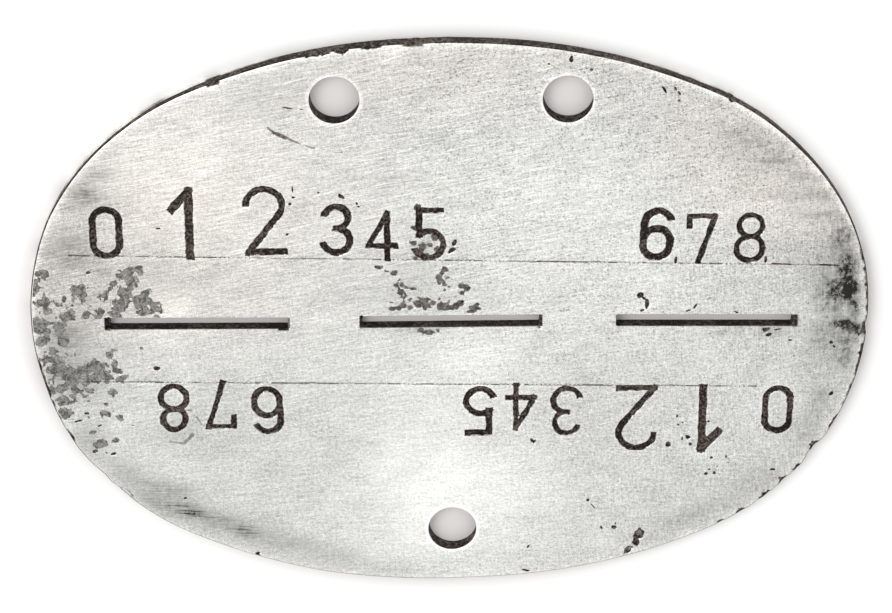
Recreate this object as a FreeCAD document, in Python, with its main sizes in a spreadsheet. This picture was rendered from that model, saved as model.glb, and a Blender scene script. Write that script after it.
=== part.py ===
import FreeCAD, Part
import math
import os

import Sketcher
from FreeCAD import Vector

os.makedirs("parts", exist_ok=True)
doc = FreeCAD.newDocument("identification_disc")

# Sizes in mm. The plate lies in the XY plane: X along its length, Y towards the two cord holes.
sheet = doc.addObject("Spreadsheet::Sheet", "Sizes")
SIZES = [
    ("plate_length", "70"),
    ("plate_width", "50"),
    ("plate_thickness", "1.3"),
    ("end_radius", "22.3"),
    ("rim_round", "0.2"),
    ("hole_diameter", "4.1"),
    ("upper_hole_gap", "19"),
    ("upper_hole_shift", "0.13"),
    ("upper_hole_y", "20"),
    ("lower_hole_x", "0.36"),
    ("lower_hole_y", "-20"),
    ("slot_length", "15.3"),
    ("slot_opening", "1.05"),
    ("slot_pitch", "21.35"),
    ("slot_shift", "0.2"),
    ("slot_y", "-0.05"),
    ("stroke_width", "0.55"),
    ("stamp_depth", "0.25"),
    # How far the centre of each long side arc lies beyond the middle, so that it meets the end arcs.
    ("end_reach", "=plate_length / 2 - end_radius"),
    ("side_reach", "=plate_width / 2 - end_radius"),
    ("side_drop", "=(end_reach * end_reach - side_reach * side_reach) / (2 * side_reach)"),
]
for row, (name, value) in enumerate(SIZES, start=1):
    sheet.set(f"A{row}", name)
    sheet.setAlias(f"B{row}", name)
    sheet.set(f"B{row}", value)
doc.recompute()


def size(name):
    return float(sheet.get(name))


def face_sketch(body, name, level=None):
    """A sketch in the plate's plane, raised to the named height."""
    sketch = body.newObject("Sketcher::SketchObject", name)
    plane = [feature for feature in body.Origin.OriginFeatures if feature.Role == "XY_Plane"][0]
    sketch.AttachmentSupport = (plane, [""])
    sketch.MapMode = "FlatFace"
    if level:
        sketch.setExpression("AttachmentOffset.Base.z", f"Sizes.{level} * 1 mm")
    return sketch


def bind(sketch, constraint, formula):
    """Adds a constraint whose value follows the sheet."""
    index = sketch.addConstraint(constraint)
    sketch.setExpression(f"Constraints[{index}]", f"({formula}) * 1 mm")


def arc(x, y, radius, start, end):
    """An arc between two angles in degrees. It turns clockwise if the end angle is the smaller one."""
    low, high = sorted((start, end))
    circle = Part.Circle(Vector(x, y, 0), Vector(0, 0, 1), radius)
    return Part.ArcOfCircle(circle, math.radians(low), math.radians(high))


def split_arc(sketch, x, y, radius, start, end, axis):
    """An arc drawn as two halves that meet on a sketch axis (-1 is X, -2 is Y)."""
    middle = (start + end) / 2
    first = sketch.addGeometry(arc(x, y, radius, start, middle))
    second = sketch.addGeometry(arc(x, y, radius, middle, end))
    sketch.addConstraint(Sketcher.Constraint("Coincident", first, 3, second, 3))
    sketch.addConstraint(Sketcher.Constraint("Coincident", first, 2, second, 1))
    sketch.addConstraint(Sketcher.Constraint("PointOnObject", first, 2, axis))
    return first, second


# Outline: four arcs that meet without a corner
def draw_oval(sketch):
    reach = size("end_reach")
    drop = size("side_drop")
    end_radius = size("end_radius")
    side_radius = size("plate_width") / 2 + drop
    turn = math.degrees(math.atan2(drop, reach))
    right = split_arc(sketch, reach, 0, end_radius, -turn, turn, -1)
    upper = split_arc(sketch, 0, -drop, side_radius, turn, 180 - turn, -2)
    left = split_arc(sketch, -reach, 0, end_radius, 180 - turn, 180 + turn, -1)
    lower = split_arc(sketch, 0, drop, side_radius, 180 + turn, 360 - turn, -2)
    ring = [right, upper, left, lower]
    for here, following in zip(ring, ring[1:] + ring[:1]):
        sketch.addConstraint(Sketcher.Constraint("Tangent", here[1], 2, following[0], 1))
    for end, at, formula in ((right[0], reach, "Sizes.end_reach"), (left[0], -reach, "-Sizes.end_reach")):
        bind(sketch, Sketcher.Constraint("Radius", end, end_radius), "Sizes.end_radius")
        bind(sketch, Sketcher.Constraint("DistanceX", -1, 1, end, 3, at), formula)
        sketch.addConstraint(Sketcher.Constraint("PointOnObject", end, 3, -1))
    bind(sketch, Sketcher.Constraint("DistanceY", -1, 1, upper[0], 3, -drop), "-Sizes.side_drop")
    bind(sketch, Sketcher.Constraint("DistanceY", -1, 1, lower[0], 3, drop), "Sizes.side_drop")


# Cord holes
HOLES = [
    # centre x, centre y
    ("Sizes.upper_hole_shift - Sizes.upper_hole_gap / 2", "Sizes.upper_hole_y"),
    ("Sizes.upper_hole_shift + Sizes.upper_hole_gap / 2", "Sizes.upper_hole_y"),
    ("Sizes.lower_hole_x", "Sizes.lower_hole_y"),
]


def draw_holes(sketch):
    radius = size("hole_diameter") / 2
    for x_formula, y_formula in HOLES:
        circle = sketch.addGeometry(Part.Circle(Vector(0, 0, 0), Vector(0, 0, 1), radius))
        bind(sketch, Sketcher.Constraint("Radius", circle, radius), "Sizes.hole_diameter / 2")
        bind(sketch, Sketcher.Constraint("DistanceX", -1, 1, circle, 3, 1), x_formula)
        bind(sketch, Sketcher.Constraint("DistanceY", -1, 1, circle, 3, 1), y_formula)


# Break line: three slots in a row across the middle
def draw_slots(sketch):
    half_length = size("slot_length") / 2
    half_opening = size("slot_opening") / 2
    for place in (-1, 0, 1):
        middle = size("slot_shift") + place * size("slot_pitch")
        level = size("slot_y")
        left = middle - half_length
        right = middle + half_length
        low = level - half_opening
        high = level + half_opening
        corners = [(left, low), (right, low), (right, high), (left, high)]
        edges = []
        for start, end in zip(corners, corners[1:] + corners[:1]):
            edges.append(sketch.addGeometry(Part.LineSegment(Vector(*start, 0), Vector(*end, 0))))
        for here, following in zip(edges, edges[1:] + edges[:1]):
            sketch.addConstraint(Sketcher.Constraint("Coincident", here, 2, following, 1))
        bottom, side, top, other_side = edges
        for edge in (bottom, top):
            sketch.addConstraint(Sketcher.Constraint("Horizontal", edge))
        for edge in (side, other_side):
            sketch.addConstraint(Sketcher.Constraint("Vertical", edge))
        bind(sketch, Sketcher.Constraint("DistanceX", bottom, 1, bottom, 2, 1), "Sizes.slot_length")
        bind(sketch, Sketcher.Constraint("DistanceY", side, 1, side, 2, 1), "Sizes.slot_opening")
        left_formula = f"Sizes.slot_shift + {place} * Sizes.slot_pitch - Sizes.slot_length / 2"
        bind(sketch, Sketcher.Constraint("DistanceX", -1, 1, bottom, 1, left), left_formula)
        low_formula = "Sizes.slot_y - Sizes.slot_opening / 2"
        bind(sketch, Sketcher.Constraint("DistanceY", -1, 1, bottom, 1, low), low_formula)


def pad_plate(body):
    sketch = face_sketch(body, "OvalOutline")
    draw_oval(sketch)
    pad = body.newObject("PartDesign::Pad", "Blank")
    pad.Profile = sketch
    pad.setExpression("Length", "Sizes.plate_thickness * 1 mm")
    doc.recompute()


def round_rim(body):
    """Rounds the upper and lower edges of the outline."""
    pad = body.Tip
    names = []
    for number, edge in enumerate(pad.Shape.Edges, start=1):
        if edge.BoundBox.ZLength < 0.001:
            names.append(f"Edge{number}")
    fillet = body.newObject("PartDesign::Fillet", "RimRound")
    fillet.Base = (pad, names)
    fillet.setExpression("Radius", "Sizes.rim_round * 1 mm")
    doc.recompute()


def punch_through(body, name, draw):
    """Cuts the drawn openings right through and checks that material went away."""
    before = body.Shape.Volume
    sketch = face_sketch(body, f"{name}Sketch", "plate_thickness")
    draw(sketch)
    doc.recompute()
    pocket = body.newObject("PartDesign::Pocket", name)
    pocket.Profile = sketch
    pocket.Type = "ThroughAll"
    doc.recompute()
    assert body.Shape.Volume < before, name


# Stamped figures: centre lines for a figure one unit tall. A stroke is a path of corners
# (x, y) and arcs (centre x, centre y, radius, from, to); the second stroke crosses the first.
FIGURES = {
    "0": [
        [(0, 0.74, 0.26, 90, 180), (0, 0.26, 0.26, 180, 270)],
        [(0, 0.74, 0.26, 90, 0), (0, 0.26, 0.26, 0, -90)],
    ],
    "1": [[(-0.16, 0.72), (0.08, 1), (0.08, 0)]],
    "2": [[(0, 0.74, 0.26, 170, -40), (-0.26, 0), (0.26, 0)]],
    "3": [[(0, 0.765, 0.235, 155, -90)], [(0, 0.265, 0.265, 90, -155)]],
    "4": [[(0.12, 0), (0.12, 1), (-0.26, 0.28)], [(-0.26, 0.28), (0.28, 0.28)]],
    "5": [[(0.22, 1), (-0.2, 1), (-0.02, 0.28, 0.28, 130, -150)]],
    "6": [
        [(0, 0.74, 0.26, 30, 180), (0, 0.26, 0.26, 180, 360), (0.26, 0.36)],
        [(0, 0.36, 0.26, 0, 180)],
    ],
    "7": [[(-0.25, 0.78), (-0.25, 1), (0.26, 1), (-0.04, 0)]],
    "8": [
        [(0, 0.765, 0.235, 90, 270), (0, 0.265, 0.265, 90, -90)],
        [(0, 0.765, 0.235, 90, -90), (0, 0.265, 0.265, 90, 270)],
    ],
}

# Both rows are read with the plate's nearer hole row above them; the lower one is turned half round.
UPPER_ROW = [
    # figure, x, foot y, height, tilt in degrees
    ("0", -28.3, 6.15, 4.2, 0),
    ("1", -21.9, 6.1, 5.9, 0),
    ("2", -15.1, 6.45, 5.7, 2),
    ("3", -9.3, 6.35, 4.15, 0),
    ("4", -5.6, 5.8, 4.1, 0),
    ("5", -1.6, 5.85, 4.3, 0),
    ("6", 17.1, 5.8, 4.2, -3),
    ("7", 20.9, 5.4, 4.1, 0),
    ("8", 24.9, 5.45, 4.1, -1),
]
LOWER_ROW = [
    # figure, x, foot y, height, tilt in degrees
    ("0", -27.9, 6.55, 4.05, 0),
    ("1", -22.0, 6.5, 5.8, 0),
    ("2", -15.9, 6.45, 5.75, 1),
    ("3", -10.0, 6.45, 4.3, 0),
    ("4", -6.2, 6.15, 4.1, 0),
    ("5", -2.6, 6.45, 4.2, 0),
    ("6", 15.4, 6.35, 4.05, 3),
    ("7", 19.2, 5.75, 4.15, 0),
    ("8", 23.2, 6.05, 4.1, 0),
]


def on_plate(figure_place, x, y):
    """Where a point of a unit figure lies on the plate."""
    _, column, foot, height, tilt, turn = figure_place
    point = Vector(x * height, y * height, 0)
    point = FreeCAD.Rotation(Vector(0, 0, 1), tilt).multVec(point) + Vector(column, foot, 0)
    return FreeCAD.Rotation(Vector(0, 0, 1), turn).multVec(point)


def stroke_lines(figure_place, path):
    """The lines and arcs of one stroke, each joined to the one before."""
    height, tilt, turn = figure_place[3:]
    pieces = []
    last = None
    for step in path:
        if len(step) == 2:
            start = end = on_plate(figure_place, *step)
        else:
            x, y, radius, begin, finish = step
            tips = []
            for angle in (begin, finish):
                across = x + radius * math.cos(math.radians(angle))
                up = y + radius * math.sin(math.radians(angle))
                tips.append(on_plate(figure_place, across, up))
            start, end = tips
        if last is not None and last.distanceToPoint(start) > 1e-6:
            pieces.append(Part.LineSegment(last, start))
        if len(step) > 2:
            centre = on_plate(figure_place, x, y)
            angles = [begin + tilt + turn, finish + tilt + turn]
            pieces.append(arc(centre.x, centre.y, radius * height, *angles))
        last = end
    return pieces


def stamp(plate, name, order):
    """Presses one stroke of every figure that has it into the upper face."""
    sketch = doc.addObject("Sketcher::SketchObject", f"{name}Lines")
    for row, turn in ((UPPER_ROW, 0), (LOWER_ROW, 180)):
        for place in row:
            strokes = FIGURES[place[0]]
            if order < len(strokes):
                sketch.addGeometry(stroke_lines(place + (turn,), strokes[order]))
    doc.recompute()
    width = doc.addObject("Part::Offset2D", f"{name}Width")
    width.Source = sketch
    width.setExpression("Value", "Sizes.stroke_width / 2 * 1 mm")
    width.Mode = "Pipe"
    width.Join = "Arc"
    width.Fill = True
    width.Intersection = True
    height = doc.addObject("Part::Extrusion", f"{name}Punch")
    height.Base = width
    height.Dir = Vector(0, 0, 1)
    height.Solid = True
    height.setExpression("LengthFwd", "Sizes.stamp_depth * 2 mm")
    floor = "(Sizes.plate_thickness - Sizes.stamp_depth) * 1 mm"
    height.setExpression("Placement.Base.z", floor)
    stamped = doc.addObject("Part::Cut", name)
    stamped.Base = plate
    stamped.Tool = height
    doc.recompute()
    assert stamped.Shape.Volume < plate.Shape.Volume, name
    return stamped


plate = doc.addObject("PartDesign::Body", "PlateBody")
pad_plate(plate)
round_rim(plate)
punch_through(plate, "CordHoles", draw_holes)
punch_through(plate, "BreakSlots", draw_slots)
first_strokes = stamp(plate, "FirstStrokes", 0)
disc = stamp(first_strokes, "CrossingStrokes", 1)
disc.Label = "disc_plate"
disc.Placement = FreeCAD.Placement()
doc.recompute()

for item in doc.Objects:
    assert "Invalid" not in item.State and "Error" not in item.State, item.Name
assert not disc.Shape.isNull() and disc.Shape.isValid()
assert len(disc.Shape.Solids) == 1

disc.Shape.exportStep(f"parts/{disc.Label}.step")
print("volume of the disc in cubic mm:", round(disc.Shape.Volume, 1))
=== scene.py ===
import math
from collections import namedtuple

import bpy
import numpy as np
from mathutils import Euler, Matrix, Vector
from mathutils.geometry import delaunay_2d_cdt


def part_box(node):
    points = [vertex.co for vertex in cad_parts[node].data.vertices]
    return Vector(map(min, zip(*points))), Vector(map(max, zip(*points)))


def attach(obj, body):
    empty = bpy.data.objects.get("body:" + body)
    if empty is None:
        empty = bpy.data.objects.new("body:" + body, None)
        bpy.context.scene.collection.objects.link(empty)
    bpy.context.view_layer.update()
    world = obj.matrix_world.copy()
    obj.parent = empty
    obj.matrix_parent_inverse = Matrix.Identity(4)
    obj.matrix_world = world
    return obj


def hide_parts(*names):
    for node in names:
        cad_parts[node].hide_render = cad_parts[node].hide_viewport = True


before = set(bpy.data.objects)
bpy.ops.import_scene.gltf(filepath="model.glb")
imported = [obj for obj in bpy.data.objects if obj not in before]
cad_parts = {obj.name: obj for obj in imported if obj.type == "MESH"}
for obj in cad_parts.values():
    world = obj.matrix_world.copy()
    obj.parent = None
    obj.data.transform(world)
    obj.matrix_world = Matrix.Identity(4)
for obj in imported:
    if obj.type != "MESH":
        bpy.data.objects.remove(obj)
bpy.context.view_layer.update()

# The tables and the mesh code below are in millimetres, in the plate's own frame: X along its
# length, Y towards the pair of cord holes, Z up from the face that it rests on.
MM = 0.001
NODE = "disc_plate"
low_corner, high_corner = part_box(NODE)
LENGTH = (high_corner.x - low_corner.x) / MM
WIDTH = (high_corner.y - low_corner.y) / MM
THICKNESS = (high_corner.z - low_corner.z) / MM

# The face lies a little below the tops of the burrs, which reach the plate's full thickness
FACE_DROP = 0.015
FACE = THICKNESS - FACE_DROP
FACE_WAVES = 0.008

# Distance between the points of the rim and of the slots
EDGE_STEP = 0.3

# Outline
END_RADIUS = 22.3
RIM_ROUND = 0.2
END_REACH = LENGTH / 2 - END_RADIUS
SIDE_REACH = WIDTH / 2 - END_RADIUS
SIDE_DROP = (END_REACH**2 - SIDE_REACH**2) / (2 * SIDE_REACH)
SIDE_RADIUS = WIDTH / 2 + SIDE_DROP

# Openings
HOLE_RADIUS = 2.05
HOLES = [(-9.37, 20.0), (9.63, 20.0), (0.36, -20.0)]
HOLE_LIP = 0.09
HOLE_POINTS = 96
# How far the lower end of each hole lies off its upper end
HOLE_LEAN = (0.1, 0.12)
SLOT_LIP = 0.05
SLOT_CORNER = 0.12
SLOTS = [
    # left end, right end, middle at the left end, middle at the right end, opening
    (-28.3, -13.45, -0.14, -0.17, 1.07),
    (-7.2, 7.6, -0.11, -0.03, 1.1),
    (14.0, 28.8, -0.06, -0.15, 1.1),
]
# Blind steps where the punch bit past the end of a slot
SLOT_STEPS = [
    # x from, x to, y from, y to, depth
    (-28.7, -28.2, -0.67, 0.4, 0.55),
    (-14.3, -13.35, -0.92, -0.62, 0.15),
    (-13.6, -13.25, -0.7, 0.35, 0.12),
    (-7.42, -7.1, -0.62, 0.44, 0.5),
    (7.5, 7.85, -0.6, 0.5, 0.18),
    (7.4, 7.75, -0.85, -0.5, 0.12),
    (28.7, 29.2, -0.7, 0.35, 0.3),
]

# Stamped figures
STAMP_WALL = 0.15
STAMP_RAGGED = 0.045
BURR_HEIGHT = 0.012
BURR_REACH = 0.16

# Centre lines of a figure one unit tall: corners (x, y) and arcs (centre x, centre y, radius, from, to)
FIGURES = {
    "0": [
        [(0, 0.74, 0.26, 90, 180), (0, 0.26, 0.26, 180, 270)],
        [(0, 0.74, 0.26, 90, 0), (0, 0.26, 0.26, 0, -90)],
    ],
    "1": [[(-0.16, 0.72), (0.08, 1), (0.08, 0)]],
    "2": [[(0, 0.74, 0.26, 170, -40), (-0.26, 0), (0.26, 0)]],
    "3": [[(0, 0.765, 0.235, 155, -90)], [(0, 0.265, 0.265, 90, -155)]],
    "4": [[(0.12, 0), (0.12, 1), (-0.26, 0.28)], [(-0.26, 0.28), (0.28, 0.28)]],
    "5": [[(0.22, 1), (-0.2, 1), (-0.02, 0.28, 0.28, 130, -150)]],
    "6": [
        [(0, 0.74, 0.26, 30, 180), (0, 0.26, 0.26, 180, 360), (0.26, 0.36)],
        [(0, 0.36, 0.26, 0, 180)],
    ],
    "7": [[(-0.25, 0.78), (-0.25, 1), (0.26, 1), (-0.04, 0)]],
    "8": [
        [(0, 0.765, 0.235, 90, 270), (0, 0.265, 0.265, 90, -90)],
        [(0, 0.765, 0.235, 90, -90), (0, 0.265, 0.265, 90, 270)],
    ],
}
UPPER_ROW = [
    # figure, x, foot y, height, tilt in degrees, stroke width, depth
    ("0", -28.3, 6.15, 4.2, 0, 0.58, 0.27),
    ("1", -21.9, 6.1, 5.9, 0, 0.72, 0.25),
    ("2", -15.1, 6.45, 5.7, 2, 0.58, 0.22),
    ("3", -9.3, 6.35, 4.15, 0, 0.62, 0.25),
    ("4", -5.6, 5.8, 4.1, 0, 0.52, 0.25),
    ("5", -1.6, 5.85, 4.3, 0, 0.55, 0.25),
    ("6", 17.1, 5.8, 4.2, -3, 0.66, 0.27),
    ("7", 20.9, 5.4, 4.1, 0, 0.48, 0.24),
    ("8", 24.9, 5.45, 4.1, -1, 0.5, 0.24),
]

# The lower row has the same figures, turned half round
LOWER_ROW = [
    ("0", -27.9, 6.55, 4.05, 0, 0.55, 0.26),
    ("1", -22.0, 6.5, 5.8, 0, 0.68, 0.25),
    ("2", -15.9, 6.45, 5.75, 1, 0.56, 0.22),
    ("3", -10.0, 6.45, 4.3, 0, 0.5, 0.23),
    ("4", -6.2, 6.15, 4.1, 0, 0.48, 0.24),
    ("5", -2.6, 6.45, 4.2, 0, 0.58, 0.27),
    ("6", 15.4, 6.35, 4.05, 3, 0.55, 0.27),
    ("7", 19.2, 5.75, 4.15, 0, 0.5, 0.22),
    ("8", 23.2, 6.05, 4.1, 0, 0.55, 0.23),
]

# Lines scribed by hand as a guide for the stamping: x from, y there, x to, y there
SCRIBED = [(-31.5, 6.2, 32.5, 4.95), (-31.0, -5.55, 26.0, -6.35)]
SCRIBED_WIDTH = 0.13
SCRIBED_DEPTH = 0.03
SCRIBED_WALL = 0.02
SCRIBED_GRIME = 0.55

# Shape of the outline: how far it stands out or in, by bearing from the middle in degrees
RIM_WAVES = [
    (0, 0.1), (8, 0.22), (17, 0.17), (29, 0.02), (42, 0.15), (57, 0.2), (72, 0.14), (86, 0.04),
    (104, 0.12), (121, 0.22), (136, 0.15), (147, 0.06), (164, 0.12), (174, -0.06), (189, -0.24),
    (201, -0.08), (208, -0.2), (218, 0), (232, 0.17), (246, 0.26), (258, 0.1), (275, -0.06),
    (292, 0.07), (307, 0.12), (320, 0.04), (325, 0.08), (329, 0.12), (332, -0.1), (335, 0.05),
    (338, -0.13), (341, 0.06),
]

# Ragged stretches of the rim: bearing, half width in degrees, depth
RIM_NICKS = [
    (208, 3, 0.1), (330, 5, 0.12), (338, 1.2, 0.15), (359, 1, 0.1), (97, 6, 0.05),
]

# Where dirt and small chips reach over the edge onto the face: bearing, half width in degrees, reach
RIM_CHIPS = [
    (320.3, 0.5, 0.14), (323.8, 0.6, 0.18), (328.3, 0.8, 0.24), (331.8, 0.6, 0.28), (334.5, 0.5, 0.2),
    (339, 0.6, 0.34), (352, 8, 0.05), (343.5, 1.2, 0.1), (354.6, 1.2, 0.18), (358.5, 0.8, 0.25),
    (131.7, 0.8, 0.2), (113.6, 1.4, 0.19), (109.8, 1, 0.2), (104.5, 1.6, 0.14), (97, 2, 0.12),
    (190, 5, 0.08), (198.5, 1, 0.12), (5, 8, 0.05),
]
CHIP_DEPTH = 0.07
CHIP_GRIME = 0.75

# Small dark pits and dents: x, y, half length, half width, turn in degrees, depth
PITS = [
    (16.4, -20.7, 0.5, 0.4, 70, 0.16), (16.25, -21.5, 0.42, 0.3, 100, 0.2),
    (15.6, -22.2, 0.5, 0.26, 40, 0.16), (14.35, -20, 0.26, 0.22, 0, 0.16),
    (14.4, -19.6, 0.22, 0.06, 80, 0.06), (13.2, -20, 0.16, 0.08, 110, 0.08),
    (12, -17.3, 0.13, 0.12, 0, 0.1), (12.45, -17.9, 0.35, 0.05, -50, 0.04),
    (6.95, -21.8, 0.2, 0.09, 60, 0.07), (6.75, -24.2, 0.35, 0.1, -15, 0.08),
    (7.1, -11.4, 0.22, 0.1, -60, 0.1), (7.35, -11.5, 0.22, 0.08, 60, 0.1),
    (18.75, -11.9, 0.22, 0.2, 20, 0.14), (20.35, -11.2, 0.2, 0.15, -30, 0.12),
    (19.9, -11.35, 0.18, 0.07, 80, 0.06), (20.6, -11.9, 0.14, 0.12, 60, 0.1),
    (19.4, -9.2, 0.18, 0.09, 80, 0.08), (19.5, -10, 0.1, 0.08, 0, 0.06),
    (19.9, -9.8, 0.1, 0.07, 0, 0.06), (22.1, -9.7, 0.13, 0.1, 0, 0.08),
    (22.45, -13.2, 0.15, 0.12, 70, 0.1), (23.7, -13.1, 0.12, 0.08, 90, 0.06),
    (23.9, -13.7, 0.09, 0.08, 0, 0.06), (22.05, -14.8, 0.16, 0.13, 30, 0.1),
    (22.3, -14.35, 0.1, 0.08, 0, 0.06), (22.75, -14.7, 0.17, 0.12, -60, 0.1),
    (23, -14.1, 0.12, 0.09, 0, 0.08), (27.8, -14.4, 0.2, 0.12, 0, 0.1),
    (32.35, -7.1, 0.2, 0.14, 30, 0.12), (31.3, -12, 0.22, 0.16, 50, 0.2),
    (9.85, 23.45, 0.32, 0.17, 100, 0.14), (8, 23.1, 0.16, 0.08, 0, 0.08),
    (11.5, 22.6, 0.14, 0.12, 0, 0.08), (17.45, 20.8, 0.3, 0.1, -60, 0.06),
    (18.35, 20.9, 0.2, 0.07, -70, 0.05), (18.65, 20.5, 0.2, 0.08, -60, 0.06),
    (18.65, 19.85, 0.1, 0.09, 0, 0.07), (10.5, 21.85, 0.18, 0.05, -20, 0.05),
    (-8.85, 11.42, 0.38, 0.22, -30, 0.14), (-7.6, 10.8, 0.15, 0.1, 100, 0.08),
    (-7.45, 10.5, 0.09, 0.08, 0, 0.06), (-12.85, 12.1, 0.22, 0.06, 95, 0.05),
    (-12.8, 11.35, 0.12, 0.09, 0, 0.07), (-13.1, 10.8, 0.14, 0.12, 40, 0.07),
    (-10.75, 11.8, 0.1, 0.07, 0, 0.05), (-13.4, 8, 0.16, 0.1, 40, 0.07),
    (-24, 8.6, 0.22, 0.06, 10, 0.05), (0.45, 7.15, 0.28, 0.16, 70, 0.12),
    (0.3, 6.55, 0.26, 0.18, 20, 0.12), (0.05, 6.3, 0.12, 0.09, 0, 0.08),
    (1.6, 2.95, 0.14, 0.1, 30, 0.08), (1.15, 1.75, 0.14, 0.1, 90, 0.06),
    (15.95, 2.25, 0.28, 0.2, 40, 0.12), (16.3, 1.95, 0.18, 0.08, -30, 0.06),
    (16.55, 1.45, 0.4, 0.15, 90, 0.1), (16.15, 0.85, 0.18, 0.13, 20, 0.1),
    (20.55, 1.15, 0.3, 0.12, 60, 0.06), (20.1, 0.85, 0.3, 0.09, 20, 0.05),
    (24.1, 0.62, 0.28, 0.07, -30, 0.05), (26.3, 5.45, 0.28, 0.1, 90, 0.08),
    (18.85, 5.5, 0.28, 0.1, 90, 0.08), (27.6, 5.1, 0.7, 0.07, -3, 0.05),
    (31.6, 4.95, 0.9, 0.07, -4, 0.05), (26.6, -1, 0.4, 0.2, 10, 0.07),
    (26.9, -1.45, 0.25, 0.14, 20, 0.07), (27.5, -1, 0.4, 0.08, 10, 0.05),
    (28.65, -2, 0.18, 0.08, 0, 0.05), (32.15, -2.25, 0.15, 0.13, 0, 0.09),
    (32.4, -2.65, 0.13, 0.08, -50, 0.06), (-24.5, -4.35, 0.26, 0.17, 10, 0.1),
    (-26.7, -9.75, 0.16, 0.06, 0, 0.05), (-31.3, -9.3, 0.35, 0.08, 15, 0.06),
    (-30, -12.2, 0.2, 0.12, 20, 0.1), (-29.05, -12.4, 0.1, 0.1, 0, 0.07),
    (-28.5, -12.5, 0.28, 0.12, 20, 0.09), (-29.9, 4.6, 0.25, 0.13, 10, 0.07),
    (-22.5, -16.85, 0.16, 0.13, 0, 0.1), (-16.4, -22.3, 0.25, 0.1, 20, 0.06),
    (-19.7, 21.55, 0.45, 0.2, 15, 0.2), (-11, 24, 0.9, 0.16, 12, 0.16),
    (-8.6, 24.35, 0.6, 0.14, 8, 0.14), (22.9, 19.8, 0.2, 0.08, -35, 0.05),
    (-13.1, 19.35, 0.45, 0.1, -10, 0.05), (-12, 19.2, 0.2, 0.05, 0, 0.03),
    (-32, -10.6, 0.3, 0.08, -55, 0.06), (-30.6, -8.6, 0.2, 0.1, 0, 0.04),
    (-29.5, -9.75, 0.25, 0.07, 20, 0.04),
]
PIT_SPREAD = 1.25

# Lumps of grey crust left standing in the biggest pits: x, y, half length, half width, turn in degrees
DOMES = [(16.42, -20.62, 0.38, 0.28, 70), (15.7, -22.1, 0.22, 0.16, 40), (-20, 21.5, 0.2, 0.1, 10)]

# Grooves left by knocks and by a slipped tool: x from, y from, x to, y to, width, depth
GOUGES = [
    (-14.8, 17.65, -14.3, 17.15, 0.26, 0.05), (-14.3, 17.15, -13.3, 16.7, 0.4, 0.07),
    (-13.3, 16.7, -12.2, 16.15, 0.26, 0.05), (-12.2, 16.15, -11, 15.75, 0.2, 0.04),
    (-9.9, 15.6, -9.4, 15.4, 0.18, 0.03), (-9.4, 15.4, -8.8, 15.4, 0.2, 0.035),
    (33.9, -0.75, 34.2, -1.15, 0.16, 0.1), (34.2, -1.15, 34.45, -1.6, 0.2, 0.12),
    (34.45, -1.6, 34.85, -1, 0.2, 0.12), (32.8, -0.75, 33.9, -0.85, 0.2, 0.06),
    (-22.3, -11.4, -21.7, -10.7, 0.45, 0.035), (-23.6, -11.35, -22.3, -11.55, 0.26, 0.03),
    (-21.3, -9, -20.9, -9.7, 0.26, 0.03), (-22.9, -8.3, -21.8, -8.35, 0.26, 0.03),
    (-28.2, -15.5, -27.4, -16, 0.12, 0.05), (-27.4, -16, -26.9, -16.7, 0.12, 0.05),
    (-4.1, 3, -4.15, 1.9, 0.09, 0.03), (-0.15, 2.8, -0.5, 1.8, 0.1, 0.03),
]
GOUGE_WALL = 0.08
GOUGE_RAGGED = 0.05

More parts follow.
